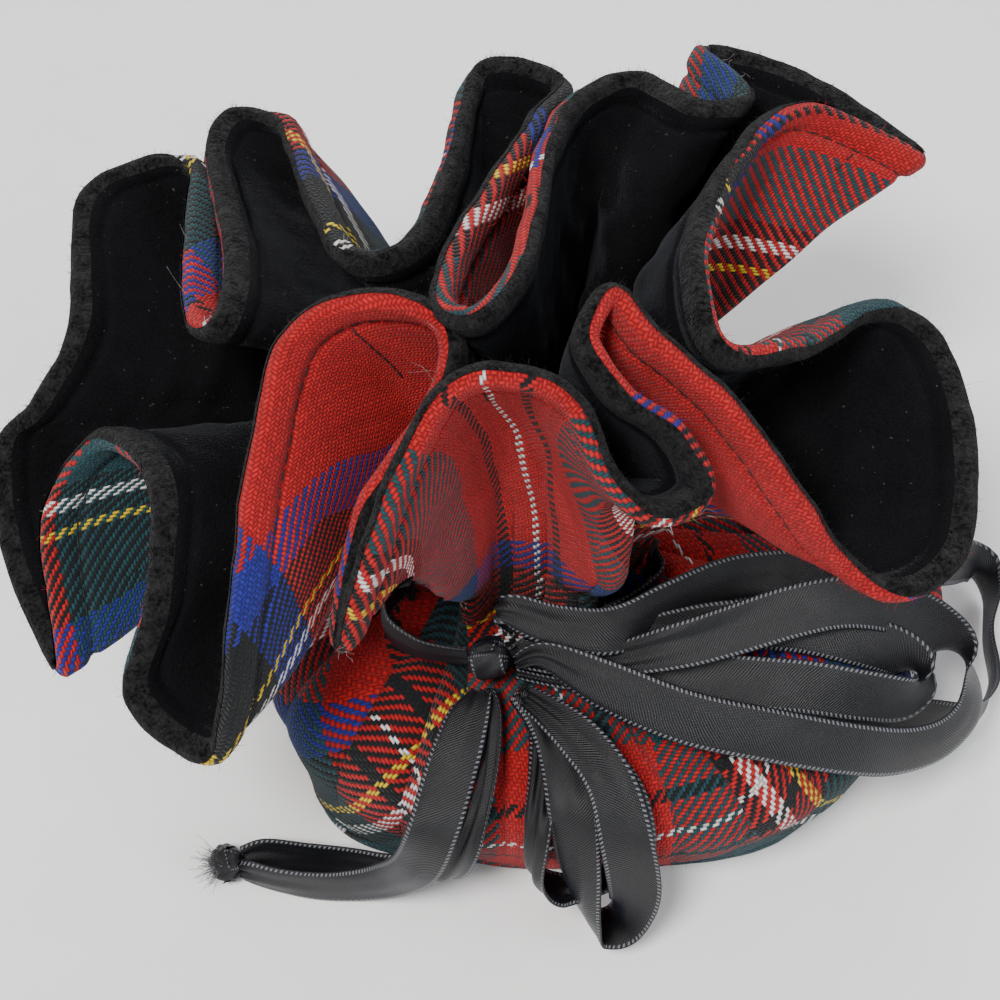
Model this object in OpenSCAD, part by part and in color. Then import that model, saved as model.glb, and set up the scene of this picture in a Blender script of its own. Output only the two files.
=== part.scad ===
// Drawstring pouch cut from a disc of tartan wool and a disc of velvet, drawn up on a ribbon.
// The base stands on z = 0, +Z is up and the bow is on the -Y side.

/* [Pouch] */
// Half width of the belly, along X
belly_rx = 65; // [60:0.5:68]
// Half depth of the belly, along Y
belly_ry = 57; // [54:0.5:60]
// Half width of the flat base
base_rx = 52; // [48:0.5:54]
// Half depth of the flat base
base_ry = 50; // [46:0.5:52]
// How far the front left corner of the base stands out
corner_out = 7; // [0:0.5:9]
// Height of the collar's lower edge, where the casing ends
collar_z = 48; // [47:0.5:49]
// Mean radius of the gathered neck
neck_r = 20.5; // [20:0.5:22]

/* [Cloth] */
// Thickness of the tartan wool
wool_t = 1.3; // [1:0.1:1.5]
// Thickness of the velvet lining with its pile
velvet_t = 1.5; // [1.1:0.1:1.7]
// Width of the turned and topstitched rim
rim_w = 5; // [4:0.5:6]
// Half thickness of the rim roll
rim_roll = 2.1; // [1.8:0.1:2.3]
// Height of the casing that holds the drawstring
casing_h = 12; // [11:0.5:13]

/* [Ribbon] */
// Width of the satin ribbon
ribbon_w = 9.5; // [8:0.5:10]
// Thickness of the satin ribbon
ribbon_t = 0.6; // [0.5:0.1:0.8]

/* [Thread] */
// Radius of the topstitching thread
thread_r = 0.3; // [0.2:0.05:0.4]

/* [Hidden] */

// centre of the gathered neck, behind and to the left of the base's centre
neck_c = [-14, 3];
// height that the collar leans out from
lean_z = 22;
// samples between two points of the rim
rim_steps = 2;
// gap that the drawstring lies in, each side of the middle of the casing
slot = 0.6;
// the drawstring inside the casing
drawstring_t = 0.6;
drawstring_w = 9.6;
// clearance of the sewing thread from the cloth
thread_gap = 0.05;

// The rim, anticlockwise from the back left fold. Each point is [x, y, z, angle at the neck,
// fold]: a fold of 1 is a ridge of the gathered neck and -1 a furrow.
RIM = [
    // broad left fold
    [-72, 44, 90, 148, 0.4], [-82, 46, 88, 151, 0.8], [-92, 40, 84, 156, 1], [-91, 16, 80, 164, 1],
    [-97, 5, 74, 170, 1], [-104, 0, 68, 176, 1], [-102, -17, 62, 184, 1], [-91, -38, 58, 192, 1],
    // furrow behind the front left fold
    [-93, -18, 72, 196, 0], [-83, -10, 84, 199, -0.8], [-72, -22, 90, 202, -1], [-72, -39, 82, 206, -0.4],
    // front left fold
    [-76, -49, 72, 210, 0.4], [-70, -55, 66, 213, 1], [-62, -58, 68, 217, 1], [-59, -46, 82, 221, 0.2],
    // wide furrow left of the middle
    [-55, -21, 98, 225, -0.6], [-50, -5, 106, 228, -1], [-38, -2, 110, 232, -1],
    [-27, -5, 109, 235, -1], [-27, -14, 102, 238, -0.4], [-39, -28, 91, 242, 0.4],
    // narrow front fold
    [-43, -43, 76, 246, 1],
    // front furrow, an arch
    [-36, -31, 93, 250, 0.2], [-27, -17, 106, 256, -0.8], [-16, -15, 109, 267, -1],
    [-7, -18, 105, 281, -0.8], [-2, -25, 98, 290, 0],
    // small front fold
    [5, -29, 92, 296, 0.8], [14, -24, 90, 301, 1], [10, -19, 98, 306, 0.4], [1, -15, 104, 310, -0.4],
    // long furrow right of the middle
    [-5, -9, 110, 314, -1], [-1, -2, 112, 318, -1], [5, -7, 108, 322, -0.8],
    [19, -15, 98, 327, 0], [29, -24, 88, 332, 0.4],
    // large right fold
    [37, -30, 78, 337, 1], [47, -33, 74, 342, 1], [57, -25, 74, 348, 1], [60, -6, 78, 355, 1],
    [56, 12, 82, 362, 0.8], [45, 14, 88, 367, 0.4],
    // back right furrow
    [29, -2, 98, 372, -0.4], [16, -6, 104, 376, -1], [14, 12, 106, 381, -1],
    [22, 35, 102, 387, -0.8], [36, 51, 97, 393, 0],
    // back right fold
    [56, 46, 90, 399, 1], [37, 65, 90, 406, 1], [19, 68, 94, 411, 0.4],
    // short back furrow
    [25, 55, 97, 415, -0.8], [17, 49, 99, 418, -1],
    // back fold
    [7, 61, 94, 423, 0.4], [-4, 55, 96, 428, 0.8],
    // deep back furrow
    [-10, 35, 104, 433, 0], [-15, 5, 110, 437, -1], [-22, -7, 112, 441, -1], [-27, 0, 110, 444, -0.8],
    [-21, 21, 106, 447, 0], [-11, 48, 98, 451, 0.4],
    // middle back fold
    [-7, 61, 93, 455, 1], [-18, 67, 92, 459, 1], [-24, 61, 92, 463, 0.8], [-27, 35, 98, 467, 0],
    // back left furrow
    [-33, 14, 104, 471, -1], [-43, 13, 104, 474, -1], [-50, 31, 99, 478, -0.4],
    // left back fold
    [-56, 52, 92, 483, 0.8], [-66, 57, 89, 487, 1], [-69, 46, 90, 491, 0.8], [-62, 17, 98, 496, 0],
    // narrow left furrow
    [-62, 2, 101, 500, -1], [-67, 4, 98, 503, -1], [-70, 24, 94, 506, -0.4]];
// how far a ridge or furrow of the gathered neck stands from its mean radius
fold_depth = 3.5;
// part of a fold's depth by which the body's shoulder rises and falls
fold_rise = 0.3;

// Fractions of the way from the neck to the rim. The last three rows are the topstitched rim.
collar_len = 75;
COLLAR_ROWS = [0, 0.15, 0.35, 0.55, 0.75, 1 - rim_w / collar_len, 1 - 0.5 * rim_w / collar_len, 1];
// Offsets of the wool and velvet faces from the middle of the collar at those rows
WOOL_FACE = [wool_t, wool_t, wool_t, wool_t, wool_t, wool_t, rim_roll, 0.7 * rim_roll];
VELVET_FACE = [velvet_t, velvet_t, velvet_t, velvet_t, velvet_t, velvet_t, rim_roll, 0.7 * rim_roll];

casing_z = collar_z - casing_h;
// Rows of the body from the collar down to the base. Each is [z, part of the neck's outline, part
// of the belly's, part of the base's, depth of the folds, gap between wool and velvet].
BODY_ROWS = [
    [collar_z, 1, 0, 0, 1, 0], [collar_z - 1, 1, 0, 0, 1, slot], [casing_z + 1, 1, 0, 0, 1, slot],
    [casing_z, 1, 0, 0, 1, 0], [34.5, 0.7, 0.27, 0, 1, 0], [35.5, 0.42, 0.55, 0, 0.8, 0],
    [33, 0.14, 0.84, 0, 0.5, 0], [25, 0, 1, 0, 0.2, 0], [13, 0, 0.7, 0.3, 0, 0],
    [4.5, 0, 0.3, 0.7, 0, 0], [wool_t, 0, 0, 0.97, 0, 0], [wool_t, 0, 0, 0.5, 0, 0]];

// ---------------------------------------------------------------- shared functions

function unit(v) = v / max(norm(v), 0.001);
function spline(a, b, c, d, t) =
    0.5 * (2 * b + (c - a) * t + (2 * a - 5 * b + 4 * c - d) * t * t + (3 * b - a - 3 * c + d) * t * t * t);

// A closed spline whose fourth value, an angle, gains 360 on each lap
function lap(i) = floor(i / len(RIM)) * [0, 0, 0, 360, 0];
function rim_at(i) = RIM[(i + len(RIM)) % len(RIM)] + lap(i);
rim = [for (i = [0 : len(RIM) - 1], j = [0 : rim_steps - 1])
    spline(rim_at(i - 1), rim_at(i), rim_at(i + 1), rim_at(i + 2), j / rim_steps)];

function dir(a) = [cos(a), sin(a), 0];
function clip(x, lo, hi) = min(max(x, lo), hi);

// A point of the collar's middle surface: a curve from the neck, upright and then leaning out
function collar_point(s, v) =
    let (fold = clip(s[4], -1, 1), out = dir(s[3]), end = [s[0], s[1], s[2]],
        start = [neck_c.x, neck_c.y, collar_z] + out * (neck_r + fold_depth * fold),
        spare = collar_len - norm(end - start),
        rise = unit([0, 0, 1] + out * clip(0.25 + 0.55 * fold, 0, 1)),
        flare = unit(end - [neck_c.x, neck_c.y, collar_z + lean_z]),
        a = start + rise * clip(0.3 * collar_len + 0.35 * spare, 10, 40),
        b = end - flare * clip(0.28 * collar_len + 0.35 * spare, 8, 40), w = 1 - v)
    w * w * w * start + 3 * w * w * v * a + 3 * w * v * v * b + v * v * v * end;
COLLAR = [for (v = COLLAR_ROWS) [for (s = rim) collar_point(s, v)]];

// Outlines of the belly and the base are rounded boxes: 2 is an ellipse, and more is squarer
belly_square = 2.2;
base_square = 3;
// direction and angular width of the base's standing-out corner, and how much of it the belly shares
corner_at = 221;
corner_width = 16;
corner_share = 0.3;
function box_radius(a, rx, ry, n) = 1 / pow(pow(abs(cos(a)) / rx, n) + pow(abs(sin(a)) / ry, n), 1 / n);
function corner_bump(a) = corner_out * exp(-pow(((a % 360) - corner_at) / corner_width, 2));
function belly_radius(a) = box_radius(a, belly_rx, belly_ry, belly_square) + corner_share * corner_bump(a);
function base_radius(a) = box_radius(a, base_rx, base_ry, base_square) + corner_bump(a);
function body_point(s, row) =
    let (a = s[3], fold = fold_depth * clip(s[4], -1, 1) * row[4],
        r = row[1] * neck_r + row[2] * belly_radius(a) + row[3] * base_radius(a) + fold,
        z = row[0] + (1 - row[1]) * fold_rise * fold)
    [neck_c.x * row[1], neck_c.y * row[1], z] + dir(a) * r;
BODY = [for (row = BODY_ROWS) [for (s = RIM) body_point(s, row)]];

// Outward normals of a grid of rows that closes on itself
function grid_normal(G, j, i) =
    let (n = len(G[0]), lo = max(j - 1, 0), hi = min(j + 1, len(G) - 1),
        du = G[j][(i + 1) % n] - G[j][(i + n - 1) % n], dv = G[hi][i] - G[lo][i])
    unit(cross(du, dv));
function level(v) = unit([v.x, v.y, 0]);
function collar_normal(j, i) = j == 0 ? level(grid_normal(COLLAR, j, i)) : grid_normal(COLLAR, j, i);
function body_normal(j, i) = j < 4 ? -level(grid_normal(BODY, j, i))
    : j > len(BODY_ROWS) - 3 ? [0, 0, -1] : -grid_normal(BODY, j, i);
function collar_face(offsets) = [for (j = [0 : len(COLLAR) - 1])
    [for (i = [0 : len(rim) - 1]) COLLAR[j][i] + collar_normal(j, i) * offsets[j]]];
function body_face(offset, side) = [for (j = [0 : len(BODY) - 1])
    [for (i = [0 : len(RIM) - 1]) BODY[j][i] + body_normal(j, i) * (offset + side * BODY_ROWS[j][5])]];

function joined(list) = [for (row = list, p = row) p];

// Closed solid between two grids of rings. A capped grid ends in a point at the last ring's centre.
module shell(A, B, capped = false) {
    n = len(A[0]);
    m = len(A);
    wall = [for (j = [0 : m - 2], i = [0 : n - 1]) let (k = (i + 1) % n)
        each [[j * n + i, (j + 1) * n + k, (j + 1) * n + i], [j * n + i, j * n + k, (j + 1) * n + k]]];
    lift = m * n;
    back = [for (f = wall) [f[2] + lift, f[1] + lift, f[0] + lift]];
    start_edge = [for (i = [0 : n - 1]) let (k = (i + 1) % n)
        each [[i, k + lift, k], [i, i + lift, k + lift]]];
    e = (m - 1) * n;
    end_edge = [for (i = [0 : n - 1]) let (k = (i + 1) % n)
        each [[e + k, e + i + lift, e + i], [e + k, e + k + lift, e + i + lift]]];
    tip = 2 * lift;
    end_caps = [for (i = [0 : n - 1]) let (k = (i + 1) % n)
        each [[e + i, e + k, tip], [e + k + lift, e + i + lift, tip + 1]]];
    tips = [for (G = [A, B]) [0, 0, G[m - 1][0].z]];
    points = concat(joined(A), joined(B), capped ? tips : []);
    polyhedron(points, concat(wall, back, start_edge, capped ? end_caps : end_edge));
}

// Tube of round section along a closed line, for sewing thread
module thread_ring(line) {
    n = len(line);
    sides = 4;
    P = [for (i = [0 : n - 1])
        let (t = unit(line[(i + 1) % n] - line[(i + n - 1) % n]),
            u = unit(cross(t, [0, 0.3, 1])), v = cross(t, u))
        [for (k = [0 : sides - 1]) line[i] + thread_r * (u * cos(90 * k) + v * sin(90 * k))]];
    faces = [for (i = [0 : n - 1], k = [0 : sides - 1])
        let (i2 = (i + 1) % n, k2 = (k + 1) % sides)
        each [[i * sides + k, i2 * sides + k, i2 * sides + k2],
            [i * sides + k, i2 * sides + k2, i * sides + k2]]];
    polyhedron(joined(P), faces);
}

// Straight rod between two points, for a tacking stitch
module thread_line(from, to) {
    step = to - from;
    translate(from) rotate([0, atan2(norm([step.x, step.y]), step.z), atan2(step.y, step.x)])
        cylinder(r = thread_r, h = norm(step), $fn = 16);
}

// ---------------------------------------------------------------- ribbon routes
// Each point is [x, y, z, and the direction of the ribbon's width], which is shorter than 1 where
// the ribbon is bunched up. The bow's knot is a short roll that lies along X.

knot_c = [-20, -29.5, 44];
knot_r = 4;
knot_half = 3.5;
ribbon_steps = 3;

RUN_LEFT = [
    [-36, -13.5, 42, 0, 0, 0.9], [-38.5, -17, 42, 0, 0, 0.95], [-38, -23, 42.5, 0, 0, 0.95],
    [-33, -27, 43, 0, -0.1, 0.9], [-28, -28.5, 43.5, 0, -0.1, 0.8], [-23.5, -29.2, 44, 0, 0, 0.6]];
RUN_RIGHT = [
    [-16.5, -28, 42.5, 0, 0, 0.5], [-12, -25.5, 42.5, 0, 0, 0.8], [-4, -23, 42, 0, 0, 0.9],
    [3, -19.5, 42, 0, 0, 0.9], [9, -15, 42, 0, 0, 0.9], [11.5, -11.5, 42, 0, 0, 0.9],
    [10.5, -8.5, 42, 0, 0, 0.9]];
LOOP_OUTER = [
    [-15, -26, 48, 0.1, 0.2, 0.2], [-18, -24.5, 51, 0.2, 0.3, 0.2], [-16, -25, 53, 0, 0.5, 0.4],
    [-8, -27, 51, 0, 0.7, 0.4], [2, -27, 49.5, 0, 0.8, 0.4], [11, -21, 48, 0, 0.5, 0.8],
    [23, -15, 46, 0, 0.6, 0.7], [35, -12.5, 44, 0, 0.85, 0.4], [48, -11, 41, 0.1, 0.9, 0.2],
    [60, -6, 35, 0.1, 0.9, 0], [70, 2, 23, -0.2, 0.8, 0.4], [78.5, 9, 11, -0.2, 0.4, 0.8],
    [82.5, 5, 6, 0.1, 0, 1], [80.5, -5, 5.5, 0, 0, 1], [80, -14, 6.5, 0, 0, 1],
    [77, -21.5, 10, 0, 0, 1], [71, -28, 15, 0, 0.2, 0.95], [62, -32, 22, -0.3, 0.4, 0.85],
    [52, -35, 30, -0.1, 0.7, 0.7], [40, -35, 37, 0, 0.85, 0.5], [27, -34, 39.5, 0, 0.9, 0.3],
    [14, -33, 40, 0, 0.9, 0.3], [2, -31, 40, 0, 0.7, 0.3], [-8, -30.5, 40.5, 0, 0.5, 0.3],
    [-15, -30, 41, 0, 0.3, 0.2]];
LOOP_SMALL = [
    [-15, -28.5, 45, 0, 0.2, 0.3], [-8, -28.5, 46, 0, 0.4, 0.4], [0, -28.5, 46, 0, 0.6, 0.4],
    [9, -26, 45, 0, 0.7, 0.5], [22, -22.5, 43, 0, 0.8, 0.5], [35, -22.5, 42.5, 0, 0.9, 0.4],
    [46, -24, 40.5, 0, 0.85, 0.5], [54.5, -25.5, 37.5, -0.2, 0.6, 0.75], [59, -28.5, 34, -0.5, 0.2, 0.8],
    [56, -32.5, 34, 0, 0.4, 0.9], [47.5, -34, 38, 0, 0.7, 0.7], [36.5, -33.5, 40.5, 0, 0.8, 0.6],
    [25, -33, 41.5, 0, 0.85, 0.5], [14, -32, 42, 0, 0.85, 0.5], [2, -31, 42, 0, 0.6, 0.3],
    [-8, -30, 42, 0, 0.4, 0.3], [-15, -29.5, 43, 0, 0.3, 0.2]];
LOOP_LARGE = [
    [-15, -31.5, 46, 0, 0.2, 0.2], [-10, -31.5, 48.5, 0, 0.4, 0.4], [0, -36.5, 47.5, 0, 0.7, 0.6],
    [14, -41.5, 45, 0, 0.8, 0.6], [28.5, -43.5, 42, 0, 0.8, 0.6], [44, -43.5, 36, 0, 0.7, 0.7],
    [55, -41, 29.5, 0, 0.6, 0.8], [64, -36.5, 26, -0.2, 0.4, 0.85], [69.5, -29.5, 26, -0.5, 0.1, 0.85],
    [68, -22, 30, -0.4, 0.2, 0.9], [61, -19, 37, -0.1, 0.5, 0.85], [52.5, -19, 43.5, 0, 0.7, 0.7],
    [43, -20, 47, 0, 0.8, 0.6], [33.5, -22.5, 48, 0, 0.85, 0.5], [22.5, -26.5, 48.5, 0, 0.8, 0.5],
    [13, -29.5, 48.5, 0, 0.7, 0.5], [1, -31, 46, 0, 0.5, 0.3], [-8, -30.5, 45, 0, 0.4, 0.3],
    [-15, -30, 45, 0, 0.2, 0.2]];
HANG_LONG = [
    [-14.5, -34.5, 40, 0.4, 0, -0.2], [-10.5, -39.5, 39.5, 0.6, 0, -0.2],
    [-7.5, -46.5, 39.5, 0.8, 0, 0], [-5.5, -55.5, 36, 0.9, -0.2, 0], [-4, -61.5, 24, 0.8, -0.4, 0],
    [-2.5, -64.5, 12, 0.5, -0.8, 0.2], [0.5, -65.5, 5, 0.1, -0.9, 0.2], [4.5, -65, 8, 0.5, -0.8, 0.3],
    [6, -64.5, 20, 0.95, -0.2, 0.1], [4, -60, 33, 1, 0, 0], [1, -52, 41, 0.9, 0, 0],
    [-4, -45, 43, 0.8, 0, 0.2], [-9, -40, 43, 0.6, 0, 0.2], [-13.5, -36, 42, 0.4, 0, 0.2]];
HANG_SHORT = [
    [-14, -33, 38, 0.3, 0, -0.2], [-11, -38, 38, 0.4, 0, -0.1], [-10.5, -46, 37, 0.5, 0, -0.1],
    [-11.5, -56.5, 32.5, 0.5, -0.3, 0.1], [-12, -60.8, 23, 0.4, -0.5, 0.1],
    [-10, -61.2, 16, 0.2, -0.7, 0.2], [-6, -61.2, 13, 0, -0.75, 0.3], [-1, -60.8, 16, 0.2, -0.5, 0.2],
    [3, -60.5, 22, 0.7, -0.1, 0], [5.5, -59.5, 30, 0.8, 0, 0], [4, -52.5, 37, 0.7, 0, 0],
    [-0.5, -45, 37, 0.6, 0, 0.2], [-6, -39.5, 37.5, 0.4, 0, 0.2], [-12.5, -34.5, 38.5, 0.3, 0, 0.2]];
TAIL_FRONT = [
    [-21.5, -34.5, 40.5, 0.5, 0, 0.1], [-23.5, -39, 41, 0.8, 0, 0.1], [-26, -47, 39.5, 0.95, 0, 0.1],
    [-29.5, -57.5, 34, 0.95, -0.1, -0.1], [-33, -60.5, 23, 0.85, -0.3, -0.3],
    [-38.5, -59, 12, 0.6, -0.4, -0.6], [-45, -58, 6.5, 0.2, -0.3, -0.9],
    [-52, -57.5, 5, 0, -0.2, -0.95], [-59, -56.5, 5, 0, -0.1, -0.9], [-64, -55, 4.5, 0, -0.1, -0.8],
    [-66.5, -54, 4, 0, -0.1, -0.5]];
TAIL_BACK = [
    [-20, -33.5, 39.5, 0.2, -0.1, 0.2], [-19, -37.5, 39, 0.2, -0.2, 0.3],
    [-19.2, -44, 38.5, 0.2, -0.2, 0.4], [-21, -53.5, 37, 0.3, -0.2, 0.4],
    [-24.5, -59.3, 28.5, 0.6, -0.2, 0.1], [-28.5, -59.5, 17, 0.7, -0.1, 0.1],
    [-34.5, -56.5, 9, 0.6, 0.1, 0.5], [-43, -53.5, 5.5, 0.1, 0.3, 0.8], [-54, -52, 5, 0, 0.3, 0.85],
    [-62, -51, 4.5, 0, 0.4, 0.7], [-66.5, -51.5, 4, 0, 0.3, 0.5]];

// The left tail's end knot and the threads that fray out of it
tail_knot_c = [-69.5, -52.5, 4];
tail_knot_r = 3.8;
fray_count = 7;
fray_len = 6;
fray_r = 0.25;

function ribbon_at(R, i) = R[clip(i, 0, len(R) - 1)];
function ribbon_line(R) = [for (i = [0 : len(R) - 2], j = [0 : ribbon_steps - 1])
        spline(ribbon_at(R, i - 1), R[i], R[i + 1], ribbon_at(R, i + 2), j / ribbon_steps),
    R[len(R) - 1]];

// A flat ribbon swept along its route, as one closed solid
module ribbon(route) {
    L = ribbon_line(route);
    n = len(L);
    C = [for (p = L) [p[0], p[1], p[2]]];
    rings = [for (i = [0 : n - 1])
        let (t = unit(C[min(i + 1, n - 1)] - C[max(i - 1, 0)]), w = [L[i][3], L[i][4], L[i][5]],
            across = (w - t * (w * t)) / max(norm(w - t * (w * t)), 0.001) * norm(w) * ribbon_w / 2,
            up = unit(cross(t, across)) * ribbon_t / 2)
        [C[i] - across - up, C[i] + across - up, C[i] + across + up, C[i] - across + up]];
    // the two wide faces split their quads on the same diagonal, so a twist keeps its thickness
    sides = [for (i = [0 : n - 2], k = [0 : 3]) let (a = i * 4, b = a + 4, m = (k + 1) % 4)
        each k == 2 ? [[a + k, b + k, a + m], [b + k, b + m, a + m]]
            : [[a + k, b + k, b + m], [a + k, b + m, a + m]]];
    e = (n - 1) * 4;
    polyhedron(joined(rings), concat([[0, 1, 2], [0, 2, 3], [e, e + 2, e + 1], [e, e + 3, e + 2]], sides));
}

// ---------------------------------------------------------------- the pouch

module outer_body() {
    color("firebrick") shell(body_face(wool_t, 1), body_face(0, 1), true);
}

module lining_body() {
    color("#202020") shell(body_face(0, -1), body_face(-velvet_t, -1), true);
}

module outer_collar() {
    color("firebrick") shell(collar_face(0 * WOOL_FACE), collar_face(WOOL_FACE));
}

module lining_collar() {
    color("#202020") shell(collar_face(-1 * VELVET_FACE), collar_face(0 * VELVET_FACE));
}

// ---------------------------------------------------------------- sewing

stitch_row = len(COLLAR_ROWS) - 3;

module rim_topstitch() {
    lift = wool_t + thread_r + thread_gap;
    color("black") thread_ring([for (i = [0 : len(rim) - 1])
        COLLAR[stitch_row][i] + collar_normal(stitch_row, i) * lift]);
}

module casing_stitch(row) {
    lift = slot + wool_t + thread_r + thread_gap;
    color("black") thread_ring([for (i = [0 : len(RIM) - 1]) BODY[row][i] + body_normal(row, i) * lift]);
}

// Rim points that carry a short tacking stitch across the hem
TACKED = [17, 24, 47, 60];
tack_lift = 0.6;
module hem_tacks() {
    lift = wool_t + tack_lift;
    color("black") for (p = TACKED)
        let (i = p * rim_steps + 1, low = stitch_row - 1)
        thread_line(COLLAR[low][i] + collar_normal(low, i) * lift,
            COLLAR[stitch_row][i] + collar_normal(stitch_row, i) * lift);
}

// Worked buttonhole that the ribbon leaves the casing by
eyelet_w = 4.2;
eyelet_hole = 1.6;
eyelet_t = 0.8;
eyelet_z = collar_z - casing_h / 2;
eyelet_h = casing_h - 1;
eyelet_left_at = 217;
eyelet_right_at = 335;
module slot_shape(w, h) {
    hull() for (s = [-1, 1]) translate([0, s * (h - w) / 2]) circle(d = w, $fn = 24);
}
module eyelet(a) {
    color("#181818") translate([neck_c.x, neck_c.y, eyelet_z]) rotate([90, 0, a + 90])
        translate([0, 0, neck_r + fold_depth + wool_t + slot + thread_gap]) linear_extrude(eyelet_t)
            difference() {
                slot_shape(eyelet_w, eyelet_h);
                slot_shape(eyelet_hole, eyelet_h - 2);
            }
}

// ---------------------------------------------------------------- drawstring

module casing_drawstring() {
    mid_z = collar_z - casing_h / 2;
    ring = function (offset, z) [for (i = [0 : len(RIM) - 1])
        let (p = BODY[1][i] + body_normal(1, i) * offset) [p.x, p.y, z]];
    low = mid_z - drawstring_w / 2;
    high = mid_z + drawstring_w / 2;
    color("#101010") shell([ring(drawstring_t / 2, high), ring(drawstring_t / 2, low)],
        [ring(-drawstring_t / 2, high), ring(-drawstring_t / 2, low)]);
}

module black_ribbon(route) {
    color("#101010") ribbon(route);
}

module bow_knot() {
    soft = 1;
    color("#101010") translate(knot_c) rotate([0, 90, 0]) rotate_extrude($fn = 48)
        translate([0, -knot_half]) hull() {
            square([knot_r - soft, 2 * knot_half]);
            translate([0, soft]) square([knot_r, 2 * (knot_half - soft)]);
        }
}

module tail_knot() {
    color("#101010") translate(tail_knot_c) sphere(r = tail_knot_r, $fn = 24);
}

module tail_fray() {
    color("#303030") for (k = [0 : fray_count - 1])
        translate(tail_knot_c) rotate([0, 80 - 8 * (k % 3), 150 + 80 * k / fray_count])
            translate([0, 0, tail_knot_r - 0.2]) cylinder(r = fray_r, h = fray_len - (k % 2), $fn = 16);
}

outer_body();
outer_collar();
lining_body();
lining_collar();
rim_topstitch();
casing_stitch(1);  // casing_stitch_upper
casing_stitch(2);  // casing_stitch_lower
hem_tacks();
eyelet(eyelet_left_at);  // eyelet_left
eyelet(eyelet_right_at);  // eyelet_right
casing_drawstring();
black_ribbon(RUN_LEFT);  // ribbon_run_left
black_ribbon(RUN_RIGHT);  // ribbon_run_right
bow_knot();
black_ribbon(LOOP_OUTER);  // right_loop_outer
black_ribbon(LOOP_SMALL);  // right_loop_small
black_ribbon(LOOP_LARGE);  // right_loop_large
black_ribbon(HANG_LONG);  // hanging_loop_long
black_ribbon(HANG_SHORT);  // hanging_loop_short
black_ribbon(TAIL_FRONT);  // left_tail_front
black_ribbon(TAIL_BACK);  // left_tail_back
tail_knot();
tail_fray();
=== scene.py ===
import math
import bpy
import numpy as np
from mathutils.bvhtree import BVHTree
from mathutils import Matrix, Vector


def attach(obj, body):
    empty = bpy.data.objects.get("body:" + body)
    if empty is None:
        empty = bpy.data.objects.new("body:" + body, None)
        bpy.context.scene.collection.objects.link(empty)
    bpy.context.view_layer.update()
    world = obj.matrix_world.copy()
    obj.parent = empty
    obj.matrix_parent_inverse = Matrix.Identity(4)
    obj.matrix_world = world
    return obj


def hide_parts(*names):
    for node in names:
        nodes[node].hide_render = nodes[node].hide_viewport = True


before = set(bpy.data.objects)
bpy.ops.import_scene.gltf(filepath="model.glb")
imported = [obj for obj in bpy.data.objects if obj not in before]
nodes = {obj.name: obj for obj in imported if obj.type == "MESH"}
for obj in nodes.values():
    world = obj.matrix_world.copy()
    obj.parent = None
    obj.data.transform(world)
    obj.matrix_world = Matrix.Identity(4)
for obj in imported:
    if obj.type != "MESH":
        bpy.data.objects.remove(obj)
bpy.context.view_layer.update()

MM = 0.001
scene = bpy.context.scene


def link(obj):
    scene.collection.objects.link(obj)
    return obj


# ---------------------------------------------------------------- camera

CAMERA_DISTANCE = 0.3
target = Vector((-0.018, -0.016, 0.075))
lift = math.radians(58)
camera_data = bpy.data.cameras.new("camera")
camera_data.lens = 65
camera_data.sensor_width = 36
camera_data.clip_start = 0.01
camera = link(bpy.data.objects.new("camera", camera_data))
camera.location = target + CAMERA_DISTANCE * Vector((0, -math.cos(lift), math.sin(lift)))
camera.rotation_euler = (target - camera.location).to_track_quat("-Z", "Y").to_euler()
scene.camera = camera


# ---------------------------------------------------------------- curves and grids, in millimetres

def smoothstep(x, low, high):
    t = np.clip((x - low) / (high - low), 0, 1)
    return t * t * (3 - 2 * t)


def unit(v):
    return v / np.maximum(np.linalg.norm(v, axis=-1, keepdims=True), 1e-9)


def catmull(a, b, c, d, t):
    square = (2 * a - 5 * b + 4 * c - d) * t ** 2
    cube = (3 * b - a - 3 * c + d) * t ** 3
    return 0.5 * (2 * b + (c - a) * t + square + cube)


def open_spline(points, per):
    p = np.asarray(points, float)
    ends = np.vstack([p[:1], p, p[-1:]])
    out = [catmull(ends[i], ends[i + 1], ends[i + 2], ends[i + 3], j / per)
           for i in range(len(p) - 1) for j in range(per)]
    return np.array(out + [p[-1]])


def closed_spline(points, per, turn):
    """turn is what each column gains on a lap."""
    p = np.asarray(points, float)
    n = len(p)
    at = lambda i: p[i % n] + (i // n) * np.asarray(turn, float)
    return np.array([catmull(at(i - 1), at(i), at(i + 1), at(i + 2), j / per)
                     for i in range(n) for j in range(per)])


def new_mesh(name, verts, faces, uv=None):
    """A mesh object from points in millimetres. uv is one pair for each vertex."""
    mesh = bpy.data.meshes.new(name)
    mesh.from_pydata([tuple(v) for v in np.asarray(verts) * MM], [], faces)
    if uv is not None:
        layer = mesh.uv_layers.new(name="UVMap")
        index = np.zeros(len(mesh.loops), int)
        mesh.loops.foreach_get("vertex_index", index)
        layer.data.foreach_set("uv", np.asarray(uv, np.float32)[index].ravel())
    mesh.polygons.foreach_set("use_smooth", [True] * len(mesh.polygons))
    mesh.validate()
    mesh.update()
    return link(bpy.data.objects.new(name, mesh))


def finish(obj, material, body, slot, *replaced):
    obj.data.materials.append(material)
    if replaced:
        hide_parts(*replaced)
    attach(obj, body)
    return obj


# ---------------------------------------------------------------- materials

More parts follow.
